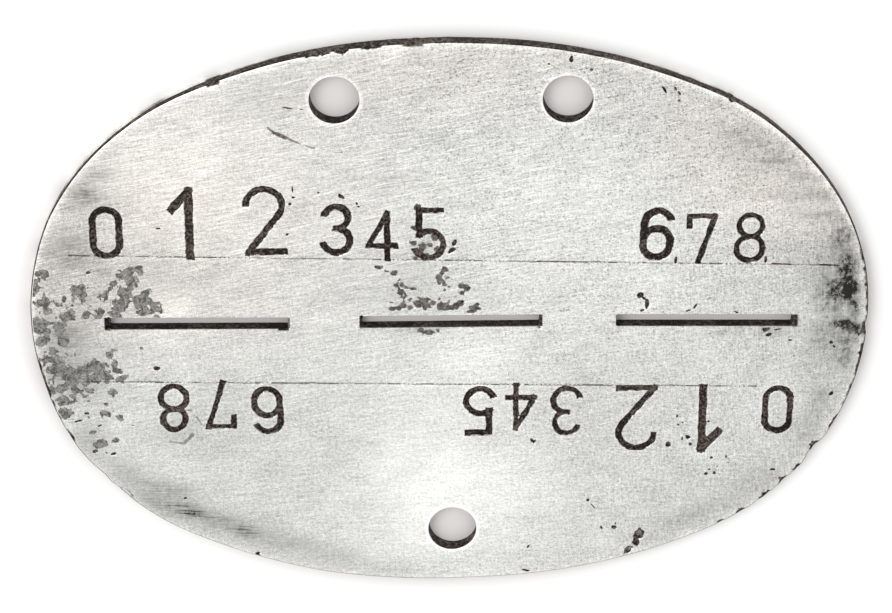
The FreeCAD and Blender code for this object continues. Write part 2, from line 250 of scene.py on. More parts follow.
# Corroded patches with a flat grey floor: x, y, half length, half width, turn in degrees
PATCHES = [
    (-34, 4.5, 0.6, 0.4, 20), (-34.3, 3.5, 0.4, 0.7, 0), (-33.7, 1.8, 0.5, 0.7, -15),
    (-33.5, 1.2, 0.35, 0.4, 0), (-34.4, 0.2, 0.5, 0.6, 0), (-33.8, -0.6, 0.8, 0.5, 0),
    (-32.5, -0.7, 0.6, 0.8, 0), (-32.2, -1.6, 0.5, 0.5, 0), (-33.8, -1.6, 0.8, 0.5, 0),
    (-31.9, 0.5, 0.8, 0.35, -10), (-30.6, 2.7, 0.8, 0.6, 10), (-30.9, 3.2, 0.5, 0.3, 30),
    (-30.4, 0.6, 0.45, 0.35, 30), (-29, 1.1, 0.35, 0.4, 0), (-29.3, 0.5, 0.35, 0.2, 0),
    (-28.5, 2.6, 0.35, 0.5, -20), (-28.15, 3.15, 0.2, 0.2, 0), (-27.85, 3.6, 0.35, 0.2, 20),
    (-26.8, 4.8, 0.6, 0.4, 0), (-26.5, 3.9, 0.6, 0.8, 0), (-25.8, 4.9, 0.35, 0.4, 0),
    (-27.2, 2.7, 0.5, 0.7, 0), (-27.4, 1.6, 0.6, 0.8, 0), (-27.8, 0.7, 0.7, 0.35, 0),
    (-26.6, 2.6, 0.3, 0.4, 0), (-26, 2, 0.4, 0.4, 0), (-25.4, 2.5, 0.55, 0.5, 30),
    (-25.3, 1.7, 0.6, 0.6, 0), (-25.5, 0.9, 0.5, 0.3, 0), (-24.6, 1.3, 0.6, 0.5, -30),
    (-24.4, 0.55, 0.4, 0.2, 0), (-33.3, -3.4, 1.2, 0.5, 0), (-32.6, -4.4, 1.3, 0.8, 0),
    (-31.6, -5.2, 1.3, 0.8, 0), (-30.6, -4.6, 0.8, 0.5, 0), (-29.6, -4.1, 0.7, 0.6, 0),
    (-30, -5.2, 0.6, 0.4, 0), (-32.6, -6.3, 0.7, 0.5, 0), (-31.5, -6.4, 0.5, 0.4, 0),
    (-32.6, -7.3, 0.7, 0.5, -20), (-31.7, -6.9, 0.4, 0.3, 0), (-32.3, -8.4, 0.5, 0.5, 0),
    (-33.3, -6.4, 0.35, 0.6, 20), (-28.35, -3.1, 0.3, 0.38, 0), (-28.05, -4, 0.3, 0.38, 0),
    (-28.7, -5.25, 0.5, 0.3, 0), (-27.5, -5.3, 0.45, 0.4, 0), (-27.7, -4.6, 0.35, 0.3, 0),
    (-28.3, -6.8, 0.3, 0.4, -10), (-28.95, -7.75, 0.22, 0.2, 0), (-28.95, -8.6, 0.5, 0.4, 0),
    (-28.3, -8.4, 0.22, 0.16, 0), (-27.75, -8.95, 0.22, 0.32, 20), (-29.5, -11.5, 0.5, 0.35, 0),
    (-30.2, -10.4, 0.4, 0.15, 20), (-28.1, -11.2, 0.3, 0.2, 0), (-25.8, -2.45, 0.18, 0.12, 0),
    (-5.7, 4.95, 0.4, 0.22, -15), (-5.2, 4.6, 0.3, 0.14, -20), (-4.5, 4.4, 0.32, 0.22, 0),
    (-4.1, 3.9, 0.22, 0.2, 0), (-3.85, 3.4, 0.22, 0.32, 20), (-3.6, 3.1, 0.18, 0.14, 0),
    (-3, 2.98, 0.2, 0.1, 0), (-4.8, 1.75, 0.16, 0.12, 0), (-4.5, 1.15, 0.6, 0.25, 10),
    (-3.9, 1.4, 0.4, 0.25, 0), (-3.2, 1.25, 0.25, 0.2, 0), (-2.5, 1.55, 0.55, 0.32, 0),
    (-1.85, 1.35, 0.35, 0.28, 0), (-1.3, 1.65, 0.3, 0.24, 0), (-0.5, 1.45, 0.4, 0.5, 0),
    (-0.1, 1.15, 0.38, 0.34, 0), (0.5, 1.35, 0.45, 0.18, 15), (0.95, 1.7, 0.22, 0.28, 0),
    (2.1, 1.2, 0.42, 0.4, 0), (1.6, 0.85, 0.35, 0.18, 0), (-4.9, 0.7, 0.3, 0.1, 0),
    (-0.4, 4.75, 0.38, 0.22, 10), (-0.55, 4.4, 0.18, 0.3, 0), (-0.7, 3.9, 0.4, 0.26, -20),
    (-0.35, 3.4, 0.24, 0.32, 20), (0, 3.15, 0.18, 0.16, 0), (-2.3, -0.65, 0.25, 0.25, 0),
    (-1.6, -1.1, 0.5, 0.3, 0), (-0.9, -0.9, 0.22, 0.26, 0), (-2.6, 10.5, 0.24, 0.28, 0),
    (-2.75, 8.6, 0.35, 0.2, -30), (1.1, 3.2, 0.3, 0.22, 0), (1.1, 2.55, 0.3, 0.2, 20),
    (1.6, 2.9, 0.3, 0.26, 30), (-2.2, 8.1, 0.3, 0.3, 0), (-2.9, 7.2, 0.35, 0.22, -20),
    (-2.2, 6.6, 0.3, 0.45, 20), (-1.6, 7, 0.28, 0.2, 0), (-1.8, 6, 0.45, 0.3, 0),
    (-2.7, 5.8, 0.3, 0.2, 0), (-1.2, 7.8, 0.3, 0.25, 0), (-1, 6.6, 0.25, 0.3, 0),
]
PATCH_DEPTH = 0.035
PATCH_GRIME = 0.44
PATCH_SPREAD = 1.12

# Areas crusted all over with grey specks: x, y, half length, half width, turn in degrees, strength
HAZE = [
    (-34, 3.5, 0.9, 2.2, -8, 0.42), (-33.2, -0.5, 1.8, 2.2, 0, 0.4), (-32.4, -4.6, 2.2, 1.6, 0, 0.5),
    (-31.4, -7, 1.4, 1.6, 0, 0.45), (-30.6, 1.6, 1.6, 1.8, 0, 0.4), (-27, 3.2, 2.2, 2, 0, 0.45),
    (-29.4, -4.8, 1.6, 1.2, 0, 0.4), (-30.5, -10, 1.6, 1.6, 0, 0.3), (-1.5, 1.6, 3.5, 0.8, 0, 0.45),
    (-2.3, 6.7, 0.55, 1.3, 8, 0.75), (-0.5, 4, 0.6, 1.2, 0, 0.5), (-4.2, 2.6, 0.5, 1.4, 15, 0.4),
    (-28.8, -11.8, 1.2, 0.8, 0, 0.3),
]

# Soft dark stains: x, y, half length, half width, turn in degrees, darkness
STAINS = [
    (33.45, 2.75, 0.6, 0.7, 0, 2.2), (33.9, 1.1, 0.35, 0.8, 10, 0.9), (33.2, 5.2, 0.8, 0.9, 0, 0.6),
    (33.2, 4.1, 0.5, 0.6, 0, 0.5), (32.7, 7.6, 0.9, 1.2, 0, 0.5), (32.1, 2.6, 1, 1.2, 0, 0.45),
    (31.8, 3, 1.8, 6, 0, 0.22), (28.5, 11.2, 2.6, 0.5, -6, 0.2), (33.2, -0.6, 1, 0.5, 0, 0.8),
    (34.4, -1.1, 0.5, 0.5, 0, 0.7), (33.5, -2.3, 0.6, 0.9, 0, 0.5), (33.3, -3.7, 0.7, 0.8, 0, 0.45),
    (31.4, -1.5, 1.2, 1.6, 0, 0.16), (32.6, -0.9, 2.4, 6, 0, 0.12), (27, -1.1, 1.4, 0.6, 0, 0.3),
    (23, -1.25, 1.3, 0.3, 3, 0.25), (29.5, 9.6, 1.8, 0.35, -8, 0.22),
    (26.9, 15, 0.7, 0.18, -4, 0.5), (26.4, 14.3, 0.9, 0.22, -6, 0.45),
    (27.9, 14.3, 0.8, 0.2, -6, 0.3), (25.4, 15.9, 1.6, 0.4, -10, 0.2),
    (26.5, 14.5, 4.5, 2.4, -30, 0.12), (29.2, 13, 1.4, 0.35, -8, 0.32),
    (30.3, 11.6, 1.2, 0.35, -8, 0.3), (23.6, 16.8, 2.4, 0.5, -10, 0.18),
    (31.6, 9.6, 1.2, 0.4, -4, 0.24), (-30.2, 11.9, 1.3, 0.7, 8, 0.45), (-28.7, 13.5, 1.6, 0.6, 8, 0.32),
    (-29.4, 11, 1.6, 0.8, 8, 0.3), (-31.5, 7.2, 1.9, 0.9, 5, 0.3), (-31, 5.6, 1.8, 0.6, 3, 0.26),
    (-28.6, 4.6, 0.8, 0.5, 0, 0.2), (-32, -1, 2, 1.6, 0, 0.36), (-31.4, -5, 2.6, 2, 0, 0.36),
    (-30.4, -11.2, 1.6, 1.6, 0, 0.25), (-27.6, -14.2, 1.6, 0.9, -30, 0.22),
    (-24.2, -15.9, 2.6, 0.8, -12, 0.34), (-23.6, -17.6, 3, 0.8, -18, 0.42),
    (-22, -18.2, 1.2, 0.5, -20, 0.3), (-19, -19.3, 3.2, 0.9, -14, 0.3),
    (-17.4, -20.2, 1, 0.6, 0, 0.3), (-14, -21.2, 3.6, 0.9, -10, 0.22),
    (-9.5, -22.8, 3, 0.8, -8, 0.16), (27, -15.2, 3.4, 1.4, 32, 0.2),
    (30.5, -10.5, 1, 2.4, -20, 0.24), (31.5, -7.6, 0.8, 1.2, 0, 0.22),
    (21, -18.8, 3.4, 1, 24, 0.2), (-24, 3.6, 1.6, 1.2, 0, 0.1), (-3, 3, 5, 3.2, 0, 0.12),
    (-2, 6.8, 1.2, 1.4, 0, 0.2), (-22.7, -10, 1.6, 1.4, 0, 0.16), (-14, 20.5, 4, 1.6, 15, 0.1),
    (-2.5, -0.8, 2, 0.4, 0, 0.25),
]

# Broad bright (+) and dull (-) areas of the face, painted highlights and reflections where bright,
# partly tarnish and partly painted shade where dull: x, y, half length, half width, turn in degrees,
# gain
PAINTED_LIGHT_AND_TARNISH = [
    (-1.5, -17, 5, 11, 0, 0.24), (-22.5, 14, 7, 8, 0, 0.14), (9, 8, 11, 7, 0, 0.08),
    (17.5, 3, 3, 5, 0, 0.07), (33, 2, 5, 16, 0, -0.14), (25.5, 4, 7, 14, 0, -0.05),
    (-32.5, -3, 4.5, 9, 0, -0.16), (-31, 8, 5, 6, 0, -0.16),
    (-24, 4.5, 8, 3, 0, -0.12), (-17, -10, 11, 8, 0, -0.08),
    (-22, -20, 14, 4, -20, -0.15), (22, -18, 12, 6, 25, -0.1),
    (-5, 18, 11, 5, 0, -0.05), (18, 20, 12, 5, -15, -0.09),
    (4, -4, 5, 3, 0, 0.12), (13, -8, 8, 6, 0, -0.07), (30, 11, 4, 3, -40, 0.1),
    (2.5, -17, 6.5, 4.5, 0, 0.15), (-3, -24, 3.5, 1.6, 0, -0.22), (-23, 1, 2, 2.5, 0, 0.18),
    (28, 6, 3, 2, 0, -0.08), (-19, -9, 3, 3, 0, -0.08), (4, -14.5, 9, 3, 0, 0.07),
    (11, 12, 11, 7, 0, 0.05), (2, -3, 4, 5, 0, 0.04), (30.5, 0.5, 1.6, 1.8, 0, 0.14),
    (-19, -23, 4, 1.6, -14, 0.12), (30, -14, 2.5, 2, 30, 0.1),
    (25.5, 9.5, 2.5, 2, 0, 0.08),
]

# Areas where the bare metal looks warmer, the broad one at the upper left a painted warm reflection: x,
# y, half length, half width, turn in degrees, strength
WARM = [
    (-24, 11, 14, 9, 0, 1), (0, 23, 18, 4, 0, 0.5), (27, 14, 8, 5, -30, 1.5),
    (-28, 2, 12, 4, 0, 0.6),
]

# Painted highlights along the edges of the figures, the rim and the holes: how much brighter they are,
# and how far they reach
PAINTED_EDGE_HIGHLIGHT = 0.12
RIM_HIGHLIGHT_REACH = 0.28
HOLE_HIGHLIGHT = 3.2
HOLE_HIGHLIGHT_OFFSET = 0.08
HOLE_HIGHLIGHT_REACH = 0.17

# Random grains of the surface: length and width in mm, turn in degrees, detail, offset in mm
GRAINS = {
    "fine": (0.1, 0.1, 0, 1, 10),
    "speckle": (0.3, 0.26, 0, 2, 20),
    "brushed": (2.4, 0.13, 10, 2, 30),
    "level": (3.5, 0.16, -3, 2, 40),
    "upright": (0.14, 1.3, 4, 2, 50),
    "cloud": (3.0, 2.0, 12, 4, 60),
    "hairs": (4.0, 0.1, 16, 1, 70),
    "blotch": (0.42, 0.6, 0, 3, 80),
    "stipple": (0.17, 0.15, 0, 0, 90),
}
SCRATCH_DEPTH = 0.01

# Colours
METAL = (0.693, 0.693, 0.665)
METAL_WARM = (0.715, 0.68, 0.645)
STAIN = (0.03, 0.028, 0.023)
PATINA = (0.23, 0.225, 0.21)
PATINA_DARK = (0.08, 0.075, 0.067)
PATINA_PALE = (0.42, 0.41, 0.385)
GRIME = (0.012, 0.008, 0.006)
GRIME_PALE = (0.145, 0.118, 0.1)
FLOOR = (0.92, 0.92, 0.92)
FLOOR_PAINTED_SHADOW = (0.76, 0.735, 0.72)

# Floor: its half side, how far it lies under the disc, and where its painted shadow, a darker oval,
# fades out, as shares of the disc's half length and half width
FLOOR_HALF = 1500
FLOOR_GAP = 0.02
FLOOR_SHADE = (0.965, 1.08)
FLOOR_SHADE_SHIFT = 0.024

# Light and camera
DOME = 1.03
KEY_PLACE = (-300, 200, 500)
KEY_SIZE = 300
KEY_POWER = 1.0
# The camera's turn is in radians about X, Y and Z, and its focal length in pixels of the picture
CAMERA_PLACE = (-5.22, 133.32, 268.57)
CAMERA_TURN = (-0.45871, -0.01672, -0.00553)
FOCAL_PIXELS = 3573.9
PICTURE_WIDTH = 892
SENSOR_WIDTH = 36


def add(name, data):
    """A new object of the scene."""
    thing = bpy.data.objects.new(name, data)
    bpy.context.scene.collection.objects.link(thing)
    return thing


def smooth(value, low, high):
    """0 below low, 1 above high, and a smooth ramp between."""
    share = np.clip((value - low) / (high - low), 0, 1)
    return share * share * (3 - 2 * share)


def noise(x, y, scale, seed):
    """Smooth random field from -1 to 1 whose bumps are about scale millimetres across."""
    cells = 64
    lattice = np.random.default_rng(seed).uniform(-1, 1, (cells, cells))
    column = np.floor(x / scale).astype(int)
    row = np.floor(y / scale).astype(int)
    across = smooth(x / scale - column, 0, 1)
    up = smooth(y / scale - row, 0, 1)
    left, right = (
        lattice[row % cells, k % cells] * (1 - up) + lattice[(row + 1) % cells, k % cells] * up
        for k in (column, column + 1)
    )
    return left * (1 - across) + right * across


def noises(x, y, *layers):
    """A sum of random fields, each given as its strength, the size of its bumps and its seed."""
    return sum(strength * noise(x, y, scale, seed) for strength, scale, seed in layers)


def bearing_of(x, y):
    """Direction of each place from the middle, in degrees."""
    return np.degrees(np.arctan2(y, x)) % 360


def round_bearing(bearing, middle, half):
    """1 at a bearing, falling off on both sides of it."""
    away = (bearing - middle + 180) % 360 - 180
    return np.exp(-((away / half) ** 2))


def directions(degrees):
    """Unit offsets at some angles."""
    angles = np.radians(degrees)
    return np.column_stack([np.cos(angles), np.sin(angles)])


Bar = namedtuple("Bar", "start end half depth")
Arc = namedtuple("Arc", "centre radius low high half depth")


def to_plate(figure, turn, x, y):
    """Where a point of a figure one unit tall lies on the plate."""
    column, foot, height, tilt = figure[1:5]
    point = Matrix.Rotation(math.radians(tilt), 2) @ Vector((x, y)) * height
    return Matrix.Rotation(math.radians(turn), 2) @ (point + Vector((column, foot)))


def figure_parts(figure, turn):
    """The straight bars and the arcs that one stamped figure is made of."""
    height, tilt, width, depth = figure[3:7]
    parts = []
    for path in FIGURES[figure[0]]:
        last = None
        for step in path:
            if len(step) == 2:
                start = end = to_plate(figure, turn, *step)
            else:
                x, y, radius, begin, finish = step
                tips = (x, y) + radius * directions([begin, finish])
                start, end = (to_plate(figure, turn, *tip) for tip in tips)
                low, high = sorted((begin + tilt + turn, finish + tilt + turn))
                centre = to_plate(figure, turn, x, y)
                parts.append(Arc(centre, radius * height, low, high, width / 2, depth))
            if last is not None and (start - last).length > 0.001:
                parts.append(Bar(last, start, width / 2, depth))
            last = end
    return parts


def distance_to(part, x, y):
    """Distance outside a part's edge, or inside it where negative."""
    if isinstance(part, Bar):
        run = part.end - part.start
        dx = x - part.start.x
        dy = y - part.start.y
        along = (dx * run.x + dy * run.y) / run.length
        across = np.abs(dy * run.x - dx * run.y) / run.length
        past = np.maximum(-along, along - run.length)
        return np.maximum(across, past) - part.half
    dx = x - part.centre.x
    dy = y - part.centre.y
    middle = math.radians(part.low + part.high) / 2
    span = math.radians(part.high - part.low) / 2
    turn = np.abs((np.arctan2(dy, dx) - middle + math.pi) % (2 * math.pi) - math.pi)
    past = (turn - span) * part.radius
    return np.maximum(np.abs(np.hypot(dx, dy) - part.radius), past) - part.half


def near_part(part, x, y, margin):
    """Which places may lie within the margin of a part."""
    if isinstance(part, Bar):
        middle = (part.start + part.end) / 2
        reach = (part.end - part.start).length / 2 + part.half + margin
    else:
        middle = part.centre
        reach = part.radius + part.half + margin
    return np.nonzero(np.maximum(np.abs(x - middle.x), np.abs(y - middle.y)) < reach)[0]


def press(parts, x, y, wall, ragged=0):
    """Distance to the nearest of some parts, and how deep they press the surface."""
    far = 3.0
    distance = np.full(len(x), far)
    depth = np.zeros(len(x))
    wobble = ragged * noises(x, y, (1, 0.55, 17), (0.7, 0.2, 18))
    for part in parts:
        near = near_part(part, x, y, far)
        here = distance_to(part, x[near], y[near]) + wobble[near]
        distance[near] = np.minimum(distance[near], here)
        pressed = part.depth * smooth(-here, 0, min(wall, part.half))
        depth[near] = np.maximum(depth[near], pressed)
    return distance, depth


def between(start, end, step):
    """Evenly spaced points from one place up to another, which is left out."""
    count = max(1, round((end - start).length / step))
    return [start.lerp(end, k / count) for k in range(count)]


def contour(part, level, step):
    """Points that follow a part's edge at a given distance from it."""
    grow = part.half + level
    points = []
    if grow <= 0.005:
        return points
    if isinstance(part, Bar):
        run = part.end - part.start
        ahead = run.normalized()
        aside = Vector((-ahead.y, ahead.x))
        corners = []
        for base, sign in ((part.start, -1), (part.end, 1)):
            for side in (-sign, sign):
                corners.append(base + ahead * sign * grow + aside * side * grow)
        for start, end in zip(corners, corners[1:] + corners[:1]):
            points += between(start, end, step)
        return points
    slack = math.degrees(grow / part.radius)
    low = part.low - slack
    high = part.high + slack
    for radius in (part.radius - grow, part.radius + grow):
        count = max(2, round(math.radians(high - low) * radius / step))
        angles = np.linspace(low, high, count + 1)
        points.extend(np.array(part.centre) + radius * directions(angles))
    return points


def turned(dx, dy, turn):
    """Offsets measured along and across a direction given in degrees."""
    cosine = math.cos(math.radians(turn))
    sine = math.sin(math.radians(turn))
    return dx * cosine + dy * sine, dy * cosine - dx * sine


def blob_ratio(x, y, row, reach):
    """Which places lie within reach of a blob, and how far out each one is: 1 on the blob's edge."""
    middle_x, middle_y, half_length, half_width, turn = row[:5]
    near = np.nonzero((np.abs(x - middle_x) < reach) & (np.abs(y - middle_y) < reach))[0]
    along, across = turned(x[near] - middle_x, y[near] - middle_y, turn)
    return near, np.hypot(along / half_length, across / half_width)


def blob_cover(x, y, rows, spread, ragged, edge, seed):
    """How fully each place is covered by a table's ragged blobs, and the value of their last column."""
    wobble = ragged * noises(x, y, (1, 0.5, seed), (0.8, 0.22, seed + 1))
    cover = np.zeros(len(x))
    value = np.zeros(len(x))
    for row in rows:
        near, ratio = blob_ratio(x, y, row, 2 * spread * max(row[2:4]))
        here = smooth(1 - ratio / spread + wobble[near], 0, edge)
        cover[near] = np.maximum(cover[near], here)
        if len(row) > 5:
            value[near] = np.maximum(value[near], here * row[5])
    return cover, value


def blob_sum(x, y, rows):
    """Soft blobs that fade outwards, added up with their strengths."""
    total = np.zeros(len(x))
    for middle_x, middle_y, half_length, half_width, turn, strength in rows:
        along, across = turned(x - middle_x, y - middle_y, turn)
        total += strength * np.exp(-((along / half_length) ** 2) - (across / half_width) ** 2)
    return total


def blob_distance(x, y, rows, spread):
    """Rough distance to the nearest blob of a table."""
    far = 3.0
    distance = np.full(len(x), far)
    for row in rows:
        near, ratio = blob_ratio(x, y, row, max(row[2:4]) + far)
        distance[near] = np.minimum(distance[near], (ratio - spread) * min(row[2:4]))
    return distance


def step_depth(x, y):
    """Depth of the blind steps at the ends of the slots."""
    depth = np.zeros(len(x))
    for left, right, low, high, deep in SLOT_STEPS:
        past = np.maximum(np.maximum(left - x, x - right), np.maximum(low - y, y - high))
        depth = np.maximum(depth, deep * smooth(-past, -0.04, 0.06))
    return depth


def bars(rows):
    """Straight bars from a table whose rows give x from, y from, x to, y to, width and depth."""
    return [Bar(Vector(row[:2]), Vector(row[2:4]), row[4] / 2, row[5]) for row in rows]


figures = [figure_parts(row, 0) for row in UPPER_ROW] + [figure_parts(row, 180) for row in LOWER_ROW]
stamped = [part for figure in figures for part in figure]
scribed = bars([(*ends, SCRIBED_WIDTH, SCRIBED_DEPTH) for ends in SCRIBED])
gouges = bars(GOUGES)


def crust_cover(x, y):
    """How fully the corroded patches and the crusted areas cover each place."""
    patch, _ = blob_cover(x, y, PATCHES, PATCH_SPREAD, 0.5, 0.35, 31)
    crusted = blob_sum(x, y, HAZE)
    specks = noises(x, y, (0.5, 0.9, 35), (0.45, 0.4, 36), (0.35, 0.18, 37))
    return np.maximum(patch, smooth(crusted + specks * smooth(crusted, 0.05, 0.25), 0.5, 0.8))


def face_relief(x, y, rim):
    """Height of the upper face, how dirty, patinated, stained and warm each place is, and its painted
    highlights and shade.
    """
    edge, stamp = press(stamped, x, y, STAMP_WALL, STAMP_RAGGED)
    _, scribe = press(scribed, x, y, SCRIBED_WALL)
    _, gouge = press(gouges, x, y, GOUGE_WALL, GOUGE_RAGGED)
    pit, pit_depth = blob_cover(x, y, PITS, PIT_SPREAD, 0.25, 0.4, 21)
    dome, _ = blob_cover(x, y, DOMES, 1, 0.25, 0.5, 22)
    patch = crust_cover(x, y)
    step = step_depth(x, y)
    inside = rim_distance(x, y, rim)
    chips = rim_chips(x, y, inside)
    burr = np.exp(-((2 * edge / BURR_REACH - 1) ** 2)) * (0.65 + 0.35 * noise(x, y, 0.8, 11))

    bed = 1 + noises(x, y, (0.3, 0.25, 13), (0.2, 0.12, 14))
    fading = 0.95 + 0.12 * noise(x, y, 2.5, 12)
    height = FACE + FACE_WAVES * noise(x, y, 5, 15) + BURR_HEIGHT * burr
    height -= stamp * (1 + 0.12 * noise(x, y, 0.4, 16)) + scribe * fading + gouge
    height -= np.maximum(pit_depth * bed * (1 - 0.5 * dome), step)
    height -= PATCH_DEPTH * patch * bed + CHIP_DEPTH * chips
    dirt = [
        smooth(-edge, -0.05, 0.07),
        smooth(step, 0.03, 0.2),
        pit * (1 - 0.8 * dome),
        smooth(scribe, 0, 0.02) * fading * SCRIBED_GRIME,
        smooth(gouge, 0, 0.02) * (0.36 + 3 * gouge),
        patch * PATCH_GRIME * smooth(x, -20, -10),
        chips * CHIP_GRIME,
    ]
    return {
        "height": height,
        "grime": np.maximum.reduce(dirt),
        "patina": np.maximum(patch, 0.8 * dome),
        "stain": blob_sum(x, y, STAINS),
        "warmth": blob_sum(x, y, WARM),
        # Painted highlights on the burrs of the figures, round the holes and along the rim, added to the
        # broad painted highlights and shade
        "painted_light_and_tarnish": blob_sum(x, y, PAINTED_LIGHT_AND_TARNISH) + PAINTED_EDGE_HIGHLIGHT * (burr + painted_hole_highlight(x, y) + painted_rim_highlight(x, y, inside)),
    }


def rim_chips(x, y, inside):
    """How fully dirt that reaches over the edge covers each place."""
    bearing = bearing_of(x, y)
    reach = np.zeros(len(x))
    for middle, half, width in RIM_CHIPS:
        reach = np.maximum(reach, width * round_bearing(bearing, middle, half))
    reach *= 1 + noises(x, y, (0.55, 0.5, 54), (0.35, 0.22, 55))
    return smooth(reach - inside, 0, 0.07)


def painted_hole_highlight(x, y):
    """Painted highlight rings round the holes."""
    highlight = np.zeros(len(x))
    for middle_x, middle_y in HOLES:
        away = np.hypot(x - middle_x, y - middle_y) - HOLE_RADIUS - HOLE_HIGHLIGHT_OFFSET
        highlight += HOLE_HIGHLIGHT * np.exp(-((away / HOLE_HIGHLIGHT_REACH) ** 2))
    return highlight


def painted_rim_highlight(x, y, inside):
    """A painted highlight along the rim's edge, strongest along the upper half and at the upper right.
    """
    bright = np.exp(-((inside / RIM_HIGHLIGHT_REACH) ** 2)) * (0.8 + 0.4 * noise(x, y, 1.5, 19))
    return bright * (1 + 1.6 * smooth(y, -12, 2) + 1.2 * smooth(x, 8, 18) * smooth(y, 3, 9))


def rim_loop():
    """Points of the outline, with the direction that points outwards at each."""
    corner = math.degrees(math.atan2(SIDE_DROP, END_REACH))
    arcs = [
        (END_REACH, 0, END_RADIUS, -corner, corner),
        (0, -SIDE_DROP, SIDE_RADIUS, corner, 180 - corner),
        (-END_REACH, 0, END_RADIUS, 180 - corner, 180 + corner),
        (0, SIDE_DROP, SIDE_RADIUS, 180 + corner, 360 - corner),
    ]
    places = []
    outward = []
    for middle_x, middle_y, radius, start, end in arcs:
        count = round(math.radians(end - start) * radius / EDGE_STEP)
        outward.append(directions(start + (end - start) * np.arange(count) / count))
        places.append((middle_x, middle_y) + radius * outward[-1])
    places = np.vstack(places)
    outward = np.vstack(outward)
    x, y = places.T
    bearing = bearing_of(x, y)
    stand = np.interp(bearing, *zip(*RIM_WAVES), period=360)
    ragged = noises(x, y, (1, 0.9, 41), (1, 0.45, 42))
    for middle, half, depth in RIM_NICKS:
        stand += depth * round_bearing(bearing, middle, half) * (ragged - 0.5)
    return places + outward * stand[:, None], outward


def hole_loop(x, y):
    """Points of a round hole, with the direction that points into the opening at each."""
    spread = directions(-np.arange(HOLE_POINTS) * 360 / HOLE_POINTS)
    return (x, y) + spread * HOLE_RADIUS, -spread


def slot_loop(left, right, left_middle, right_middle, opening):
    """Points of a slot with square ends, with the direction that points into the opening at each."""
    rounded = []
    # Each corner: which way it lies from the middle, and the first angle of its rounding
    for across, up, first in ((1, 1, 90), (1, -1, 0), (-1, -1, -90), (-1, 1, -180)):
        x, y = (right, right_middle) if across > 0 else (left, left_middle)
        centre = Vector((x - across * SLOT_CORNER, y + up * (opening / 2 - SLOT_CORNER)))
        for spread in directions(first - 30 * np.arange(4)):
            rounded.append((centre + Vector(spread * SLOT_CORNER), -spread))
    filled = []
    for (start, inward), (end, _) in zip(rounded, rounded[1:] + rounded[:1]):
        filled += [(place, inward) for place in between(start, end, EDGE_STEP)]
    places, inward = zip(*filled)
    return np.array(places), np.array(inward)


def wall_profile(lip):
    """How a wall runs down: (distance back from the opening or the air, height)."""
    turns = [math.radians(angle) for angle in (0, 22, 45, 68, 90)]
    upper = [(lip * (1 - math.sin(a)), FACE - lip * (1 - math.cos(a))) for a in turns]
    between = [(0, FACE - lip + (2 * lip - FACE) * share) for share in (0.2, 0.4, 0.6, 0.8)]
    lower = [(lip * (1 - math.cos(a)), lip * (1 - math.sin(a))) for a in turns]
    return upper + between + lower


def rim_distance(x, y, rim):
    """How far inside the rim each place lies, measured towards the middle."""
    limit = np.interp(bearing_of(x, y), bearing_of(*rim.T), np.hypot(*rim.T), period=360)
    return limit - np.hypot(x, y)


def on_metal(x, y, rim, margin):
    """Whether each place is clear of the rim and of every opening by the margin."""
    clear = rim_distance(x, y, rim) > margin
    for middle_x, middle_y in HOLES:
        clear &= np.hypot(x - middle_x, y - middle_y) > HOLE_RADIUS + HOLE_LIP + margin
    for left, right, left_middle, right_middle, opening in SLOTS:
        middle = np.interp(x, (left, right), (left_middle, right_middle))
        beside = np.maximum(left - x, x - right)
        above = np.abs(y - middle) - opening / 2
        clear &= np.maximum(beside, above) > SLOT_LIP + margin
    return clear


def grid(step, left=-36, right=36, low=-26, high=26):
    """Points of a square grid."""
    xs, ys = np.meshgrid(np.arange(left, right, step), np.arange(low, high, step))
    return np.column_stack([xs.ravel(), ys.ravel()])


def along_figures():
    """Points that follow the edges of the stamped figures, then points on their floors."""
    points = []
    for figure in figures:
        for level in (0, -STAMP_WALL, BURR_REACH / 2, BURR_REACH + 0.05):
            for part in figure:
                found = np.array(contour(part, level, 0.15))
                if len(found):
                    edge, _ = press(figure, *found.T, STAMP_WALL)
                    points.append(found[edge > level - 0.02])
    return np.vstack(points)


def along_lines():
    """Points that follow the scribed lines on both sides of their bottoms."""
    points = []
    for part in scribed:
        run = part.end - part.start
        aside = Vector((-run.y, run.x)).normalized()
        count = round(run.length / 0.35)
        for offset in (-0.11, -0.05, 0.05, 0.11):
            for k in range(count + 1):
                points.append(part.start + run * k / count + aside * offset)
    return np.array(points)


def around_holes():
    """Points of rings just outside the holes."""
    rings = []
    for x, y in HOLES:
        places, inward = hole_loop(x, y)
        rings += [places - inward * (HOLE_LIP + apart) for apart in (0.12, 0.3)]
    return np.vstack(rings)


def face_points(rim):
    """Where the upper face is sampled, the most telling points first."""
    spread = [along_lines(), along_figures(), around_holes()]
    for step, reach, distance in (
        (0.07, 0.12, lambda x, y: blob_distance(x, y, PITS, PIT_SPREAD)),
        (0.09, 0.1, lambda x, y: press(gouges, x, y, GOUGE_WALL)[0]),
        (0.12, 0.15, lambda x, y: blob_distance(x, y, PATCHES, PATCH_SPREAD)),
        (0.13, 0, lambda x, y: 0.1 - blob_sum(x, y, HAZE)),
        (0.16, 0.3, lambda x, y: press(stamped, x, y, STAMP_WALL)[0]),
        (0.25, 0.9, lambda x, y: rim_distance(x, y, rim)),
        (0.4, 99, lambda x, y: np.zeros(len(x))),
    ):
        points = grid(step)
        points = points[distance(*points.T) < reach]
        spread.append(points)
    for left, right, low, high, _ in SLOT_STEPS:
        spread.insert(0, grid(0.07, left - 0.2, right + 0.2, low - 0.2, high + 0.2))
    points = np.vstack(spread)
    points = points[on_metal(*points.T, rim, 0.06)]
    cells = np.round(points / 0.055).astype(int)
    _, first = np.unique(cells, axis=0, return_index=True)
    return points[np.sort(first)]


